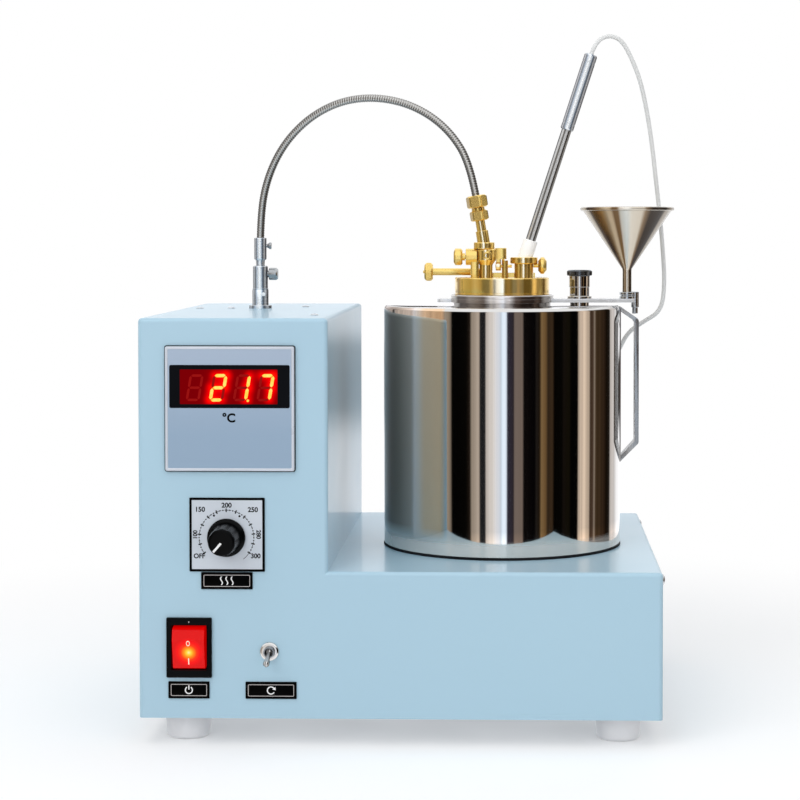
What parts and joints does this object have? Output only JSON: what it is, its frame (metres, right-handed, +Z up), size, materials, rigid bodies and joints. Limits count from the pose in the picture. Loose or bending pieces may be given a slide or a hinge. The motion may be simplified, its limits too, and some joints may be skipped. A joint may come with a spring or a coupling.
{
  "type": "flash point tester",
  "caption": "Closed cup flash point tester: control tower with temperature indicator, polished water bath, and a stirred oil cup whose cover has a slide, a test jet and a probe.",
  "frame": {"origin": "on the bench, under the centre of the whole instrument", "axes": "+X to the right as seen from the front, +Y to the back, +Z up; the control panel faces -Y"},
  "size_m": [0.2998, 0.2827, 0.3975],
  "materials": {
    "cabinet_paint": "gloss pale blue enamel",
    "foot_rubber": "satin white rubber",
    "polished_steel": "mirror polished stainless",
    "satin_steel": "satin turned steel",
    "zinc_steel": "zinc plated",
    "shaft_steel": "dark oiled steel",
    "brass": "satin turned brass",
    "chrome_plate": "bright plated",
    "aluminium": "satin",
    "dial_face": "satin silver with a black border",
    "meter_face": "silver blue moulding",
    "meter_case": "black moulding",
    "window_red": "dark red filter",
    "digit_light": "lit segments",
    "black_plastic": "satin black moulding",
    "label_black": "engraved laminate",
    "rocker_red": "translucent red, lit",
    "gasket_rubber": "matt black rubber",
    "white_ptfe": "white",
    "lead_white": "white sleeve"
  },
  "bodies": {
    "instrument": {"casing": "cabinet_paint", "base_plate": "cabinet_paint", "rear_panel": "cabinet_paint", "feet": "foot_rubber", "fasteners": "zinc_steel", "mains_inlet": "black_plastic", "lead_gland": "black_plastic", "indicator_bezel": "meter_face", "indicator_case": "meter_case", "indicator_window": "window_red", "indicator_digits": "digit_light", "dial_plate": "dial_face", "regulator_body": "meter_case", "label_plates": "label_black", "mains_switch_frame": "black_plastic", "motor_switch_body": "chrome_plate", "motor_switch_nut": "chrome_plate", "motor_body": "zinc_steel", "motor_bracket": "zinc_steel", "drive_sleeve": "chrome_plate", "shaft_ferrule": "chrome_plate", "flexible_casing": "shaft_steel", "flexible_core": "shaft_steel", "bath_gasket": "gasket_rubber", "bath_shell": "polished_steel", "bath_bottom": "satin_steel", "heater_element": "satin_steel", "air_chamber": "satin_steel", "neck_ring": "polished_steel", "oil_cup": "brass", "bracket_plate": "polished_steel", "filler_port": "satin_steel", "bath_handle": "polished_steel", "probe_lead": "lead_white"},
    "regulator": {"regulator_spindle": "satin_steel", "heater_knob": "black_plastic"},
    "rocker": {"mains_rocker": "rocker_red"},
    "switch_lever": {"motor_switch_lever": "chrome_plate"},
    "motor_rotor": {"motor_shaft": "satin_steel"},
    "sleeve_thumbscrew": {"sleeve_screw": "chrome_plate"},
    "ferrule_thumbscrew": {"ferrule_screw": "chrome_plate"},
    "port_cap": {"filler_cap": "black_plastic"},
    "loose_funnel": {"funnel": "polished_steel"},
    "cover_assembly": {"cover": "brass", "slide_guides": "brass", "stirrer_socket": "brass", "lower_nut": "brass", "upper_nut": "brass", "gas_valve_body": "brass", "jet_post": "brass", "probe_socket": "brass", "probe_rod": "satin_steel", "probe_sleeve": "white_ptfe", "probe_handle": "satin_steel"},
    "stirrer_shaft": {"stirrer": "satin_steel"},
    "cover_slide": {"slide_rod": "brass", "shutter": "brass"},
    "tilting_jet": {"test_jet": "brass"},
    "valve_knob": {"gas_valve_knob": "brass"},
    "clamp_screw": {"probe_clamp_screw": "brass"}
  },
  "joints": [
    {"name": "regulator_turn", "type": "hinge", "parent": "instrument", "child": "regulator", "pos_m": [-0.1001, -0.1216, 0.1144], "axis": [0, 1, 0], "range_deg": [0, 270]},
    {"name": "rocker_tilt", "type": "hinge", "parent": "instrument", "child": "rocker", "pos_m": [-0.12065, -0.1106, 0.05425], "axis": [1, 0, 0], "range_deg": [-26, 0]},
    {"name": "motor_switch_flip", "type": "hinge", "parent": "instrument", "child": "switch_lever", "pos_m": [-0.0769, -0.1126, 0.0523], "axis": [1, 0, 0], "range_deg": [-32, 0]},
    {"name": "motor_spin", "type": "hinge", "parent": "instrument", "child": "motor_rotor", "pos_m": [-0.1004, 0.0384, 0.21], "axis": [0, 0, 1], "continuous": true},
    {"name": "sleeve_screw_turn", "type": "hinge", "parent": "instrument", "child": "sleeve_thumbscrew", "pos_m": [-0.0923, 0.0384, 0.2546], "axis": [1, 0, 0], "range_deg": [0, 180]},
    {"name": "ferrule_screw_turn", "type": "hinge", "parent": "instrument", "child": "ferrule_thumbscrew", "pos_m": [-0.0953, 0.0384, 0.2719], "axis": [1, 0, 0], "range_deg": [0, 180]},
    {"name": "port_cap_lift", "type": "slide", "parent": "instrument", "child": "port_cap", "axis": [0, 0, 1], "range_m": [0, 0.02]},
    {"name": "funnel_lift", "type": "slide", "parent": "instrument", "child": "loose_funnel", "axis": [0, 0, 1], "range_m": [0, 0.015]},
    {"name": "cover_lift", "type": "slide", "parent": "instrument", "child": "cover_assembly", "axis": [0, 0, 1], "range_m": [0, 0.07], "deforming": ["flexible_casing", "flexible_core", "probe_lead"]},
    {"name": "stirrer_spin", "type": "hinge", "parent": "cover_assembly", "child": "stirrer_shaft", "pos_m": [0.0379, -0.0037, 0.2723], "axis": [-0.1633, 0, 0.9866], "continuous": true},
    {"name": "slide_pull", "type": "slide", "parent": "cover_assembly", "child": "cover_slide", "axis": [-1, 0, 0], "range_m": [0, 0.004]},
    {"name": "jet_dip", "type": "hinge", "parent": "cover_assembly", "child": "tilting_jet", "pos_m": [0.0463, -0.0006, 0.26], "axis": [-1, 0, 0], "range_deg": [0, 16]},
    {"name": "gas_valve_turn", "type": "hinge", "parent": "cover_assembly", "child": "valve_knob", "pos_m": [0.0237, -0.0037, 0.2656], "axis": [1, 0, 0], "range_deg": [0, 270]},
    {"name": "probe_clamp_turn", "type": "hinge", "parent": "cover_assembly", "child": "clamp_screw", "pos_m": [0.0707, 0.0003, 0.2604], "axis": [1, 0, 0], "range_deg": [0, 180]}
  ],
  "couplings": [
    {"joint": "stirrer_spin", "follows": "motor_spin", "ratio": 1},
    {"joint": "jet_dip", "follows": "slide_pull", "rad_per_m": 69.8}
  ]
}
